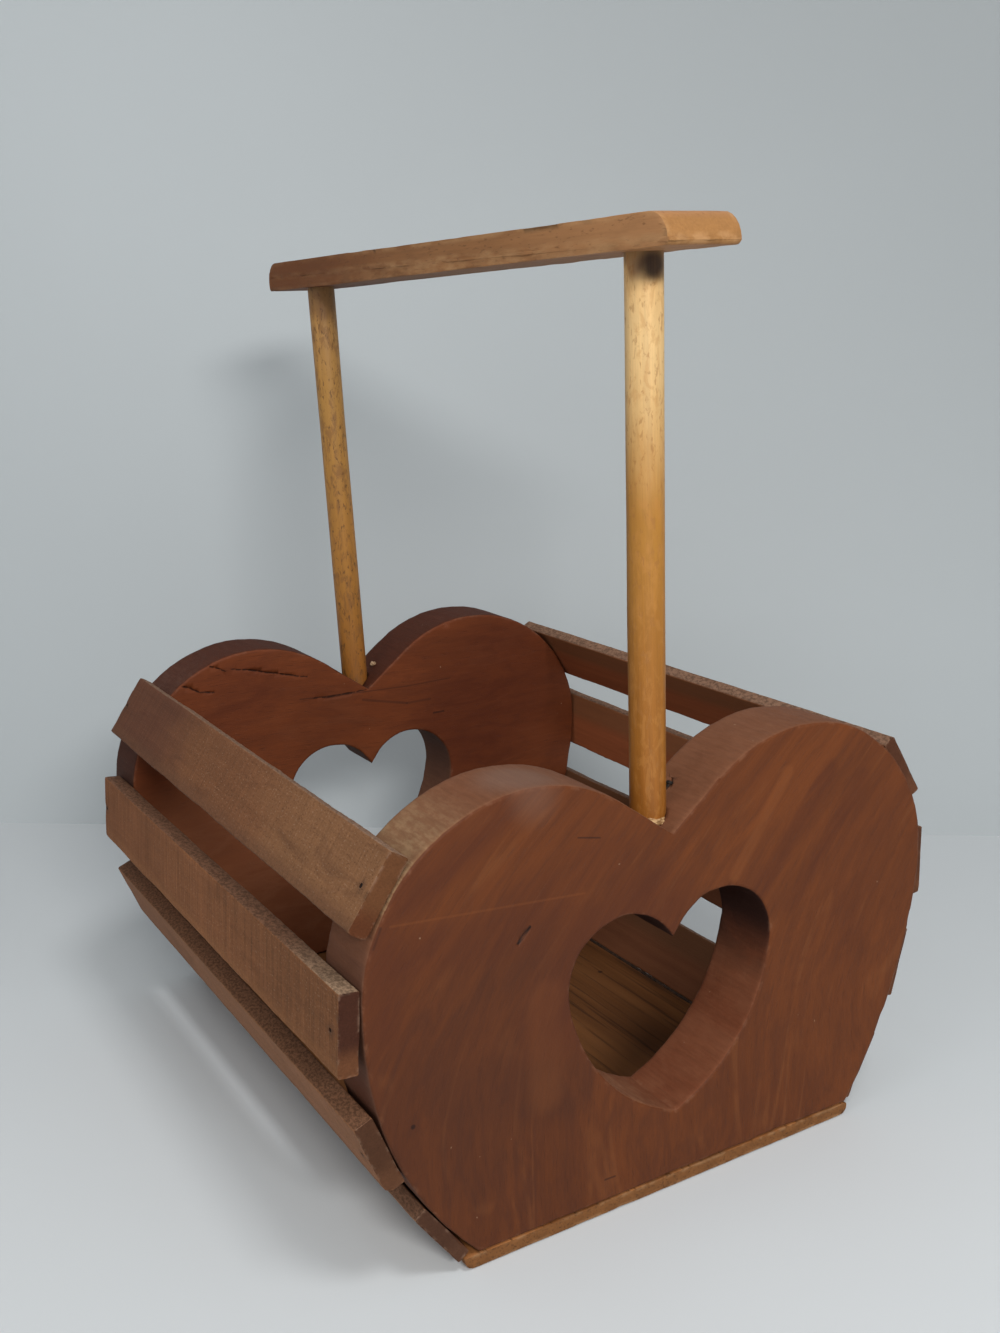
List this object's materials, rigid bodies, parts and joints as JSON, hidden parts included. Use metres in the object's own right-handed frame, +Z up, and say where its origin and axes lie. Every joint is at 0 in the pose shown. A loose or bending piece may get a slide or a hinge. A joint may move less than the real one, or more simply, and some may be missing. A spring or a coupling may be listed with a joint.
{
  "type": "decorative slat basket",
  "caption": "Wooden basket with heart-shaped end boards, heart cut-outs, thin side slats, a thin floor board and a flat handle bar carried on round posts.",
  "frame": {"origin": "bottom centre of the whole basket, on the surface that it stands on", "axes": "+Z up, +Y from the front heart to the rear heart, +X to the right of someone who faces the front heart"},
  "size_m": [0.1676, 0.209, 0.2234],
  "materials": {
    "stained_board": "red-brown stain with a worn satin varnish",
    "weathered_slat": "thin brown stain, matt and a little rough",
    "floor_board": "light brown, dark-flecked edges",
    "honey_dowel": "honey varnish, satin",
    "handle_bar": "brown stain with pale worn edges",
    "dark_steel": "dull, dark"
  },
  "bodies": {
    "root": {"front_heart": "stained_board", "rear_heart": "stained_board", "floor_board": "floor_board", "front_post": "honey_dowel", "rear_post": "honey_dowel", "front_post_pin": "dark_steel", "handle_bar": "handle_bar", "left_slat_1": "weathered_slat", "left_slat_1_front_brad": "dark_steel", "left_slat_1_rear_brad": "dark_steel", "left_slat_2": "weathered_slat", "left_slat_2_front_brad": "dark_steel", "left_slat_2_rear_brad": "dark_steel", "left_slat_3": "weathered_slat", "left_slat_3_front_brad": "dark_steel", "left_slat_3_rear_brad": "dark_steel", "left_slat_4": "weathered_slat", "left_slat_4_front_brad": "dark_steel", "left_slat_4_rear_brad": "dark_steel", "right_slat_1": "weathered_slat", "right_slat_1_front_brad": "dark_steel", "right_slat_1_rear_brad": "dark_steel", "right_slat_2": "weathered_slat", "right_slat_2_front_brad": "dark_steel", "right_slat_2_rear_brad": "dark_steel", "right_slat_3": "weathered_slat", "right_slat_3_front_brad": "dark_steel", "right_slat_3_rear_brad": "dark_steel", "right_slat_4": "weathered_slat", "right_slat_4_front_brad": "dark_steel", "right_slat_4_rear_brad": "dark_steel"}
  },
  "joints": []
}
